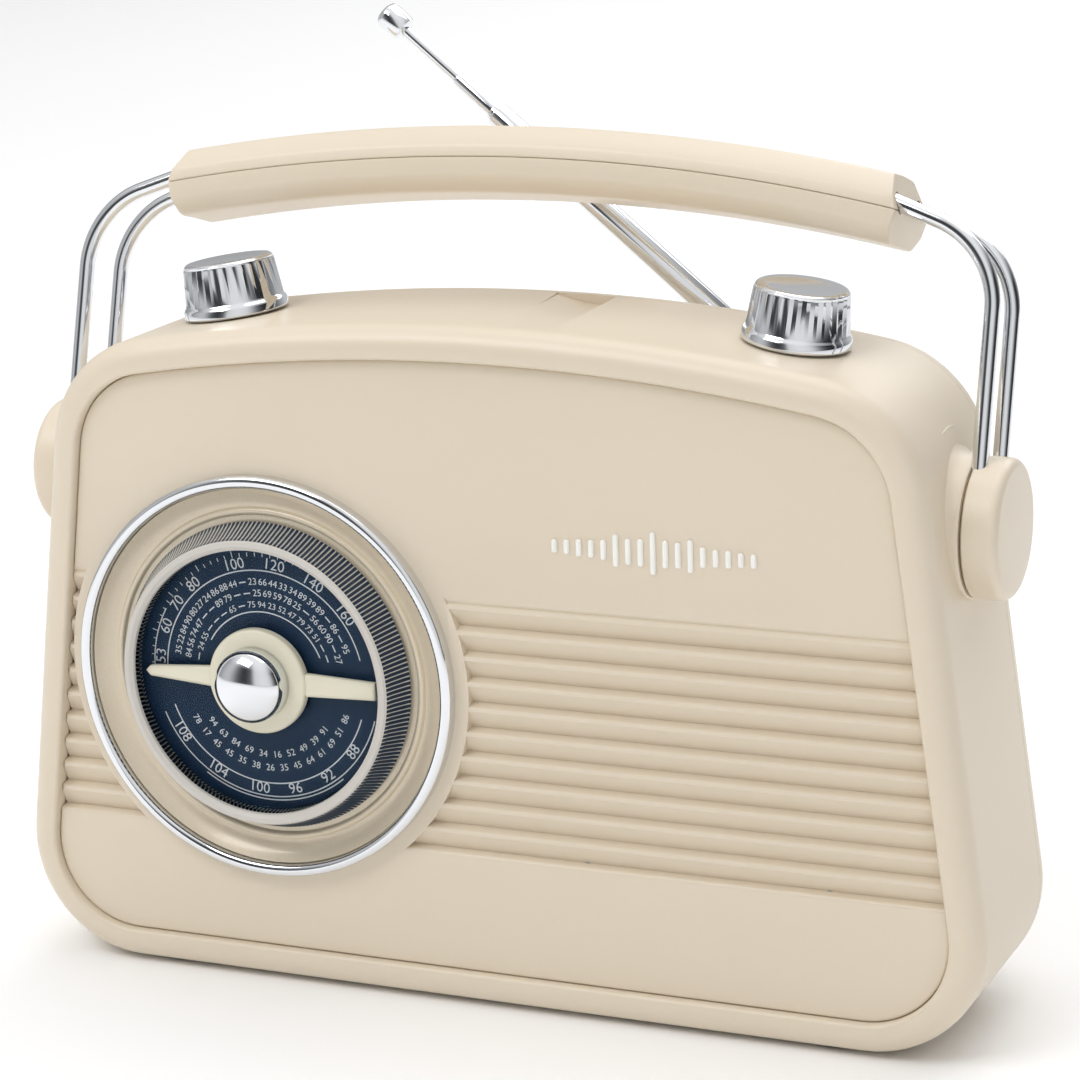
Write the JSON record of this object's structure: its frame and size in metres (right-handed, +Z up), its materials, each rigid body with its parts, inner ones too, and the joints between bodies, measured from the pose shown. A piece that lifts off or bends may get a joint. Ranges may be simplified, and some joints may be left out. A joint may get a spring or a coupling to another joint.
{
  "type": "tabletop radio",
  "caption": "Retro tabletop radio with a large round dial, ribbed speaker front, two top knobs, a folding carrying handle and a telescopic aerial.",
  "frame": {"origin": "on the table, under the middle of the radio's footprint box", "axes": "+X to the right seen from the front, +Y to the back, +Z up"},
  "size_m": [0.2366, 0.0802, 0.2213],
  "materials": {
    "cream_plastic": "satin moulded plastic",
    "chrome": "bright plated",
    "steel": "zinc plated",
    "clear_acrylic": "polished clear plastic",
    "printed_plate": "printed, glossy",
    "champagne_dish": "satin metallic paint",
    "pointer_plastic": "satin",
    "black_plastic": "satin",
    "black_rubber": "matt",
    "board_green": "solder resist",
    "white_print": "satin",
    "paper_cone": "pressed paper",
    "ferrite": "fired ferrite",
    "copper": "enamelled wire",
    "brass": "turned",
    "component_plastic": "moulded",
    "dark_steel": "black painted steel"
  },
  "bodies": {
    "root": {"front_housing": "cream_plastic", "rear_housing": "cream_plastic", "grille_panel": "cream_plastic", "badge": "white_print", "rubber_feet": "black_rubber", "housing_screws": "steel", "dial_ring": "chrome", "dial_dish": "champagne_dish", "dial_plate": "printed_plate", "tuning_capacitor": "component_plastic", "main_board": "board_green", "board_screws": "steel", "board_parts": "black_plastic", "speaker_frame": "dark_steel", "speaker_cone": "paper_cone", "speaker_magnet": "dark_steel", "speaker_screws": "steel", "volume_pot": "steel", "band_switch": "component_plastic", "shaft_nuts": "steel", "pivot_boss_left": "cream_plastic", "pivot_boss_right": "cream_plastic", "pivot_washers": "steel", "aerial_bracket": "chrome", "ferrite_rod": "ferrite", "ferrite_coils": "copper", "ferrite_clips": "component_plastic", "transformer_core": "steel", "transformer_coil": "copper", "mains_inlet": "black_plastic", "inlet_pins": "brass", "headphone_jack": "black_plastic", "battery_tray": "cream_plastic", "battery_contacts": "steel", "battery_springs": "steel"},
    "tuning": {"tuning_knob": "clear_acrylic", "pointer": "pointer_plastic", "hub_cap": "chrome", "tuning_shaft": "steel"},
    "volume": {"volume_knob": "chrome", "volume_shaft": "steel"},
    "band": {"band_knob": "chrome", "band_shaft": "steel"},
    "handle": {"pivot_disc_left": "cream_plastic", "pivot_disc_right": "cream_plastic", "pivot_pins": "steel", "rods_left": "chrome", "rods_right": "chrome", "grip_upper": "cream_plastic", "grip_lower": "cream_plastic", "grip_screws": "steel", "pivot_clips": "steel"},
    "aerial_swivel": {"aerial_knuckle": "chrome", "aerial_pin": "steel"},
    "aerial": {"aerial_base_tube": "chrome"},
    "aerial_section_2": {"aerial_middle_tube": "chrome"},
    "aerial_section_3": {"aerial_upper_tube": "chrome"},
    "aerial_tip": {"aerial_tip_rod": "chrome", "aerial_tip_cap": "chrome"},
    "battery_cover": {"battery_door": "cream_plastic"}
  },
  "joints": [
    {"name": "handle_fold", "type": "hinge", "parent": "root", "child": "handle", "pos_m": [0, -0.00162, 0.1155], "axis": [1, 0, 0], "range_deg": [0, 105]},
    {"name": "tuning_turn", "type": "hinge", "parent": "root", "child": "tuning", "pos_m": [-0.0523, -0.02863, 0.0745], "axis": [0, 1, 0], "range_deg": [0, 180]},
    {"name": "volume_turn", "type": "hinge", "parent": "root", "child": "volume", "pos_m": [-0.0685, -0.00162, 0.15369], "axis": [-0.1398, 0, 0.9902], "range_deg": [0, 300]},
    {"name": "band_turn", "type": "hinge", "parent": "root", "child": "band", "pos_m": [0.0685, -0.00162, 0.15369], "axis": [0.1398, 0, 0.9902], "range_deg": [-30, 30]},
    {"name": "aerial_swivel_turn", "type": "hinge", "parent": "root", "child": "aerial_swivel", "pos_m": [0.046, 0.03687, 0.143], "axis": [0, 1, 0], "range_deg": [-39.7, 95]},
    {"name": "aerial_tilt", "type": "hinge", "parent": "aerial_swivel", "child": "aerial", "pos_m": [0.046, 0.03687, 0.143], "axis": [-0.6388, 0, -0.7694], "range_deg": [0, 90]},
    {"name": "aerial_slide_2", "type": "slide", "parent": "aerial", "child": "aerial_section_2", "axis": [-0.7694, 0, 0.6388], "range_m": [-0.0008, 0.062]},
    {"name": "aerial_slide_3", "type": "slide", "parent": "aerial_section_2", "child": "aerial_section_3", "axis": [-0.7694, 0, 0.6388], "range_m": [-0.011, 0.048]},
    {"name": "aerial_slide_tip", "type": "slide", "parent": "aerial_section_3", "child": "aerial_tip", "axis": [-0.7694, 0, 0.6388], "range_m": [-0.016, 0.04]},
    {"name": "battery_cover_lift", "type": "slide", "parent": "root", "child": "battery_cover", "axis": [0, 1, 0], "range_m": [0, 0.04]}
  ]
}
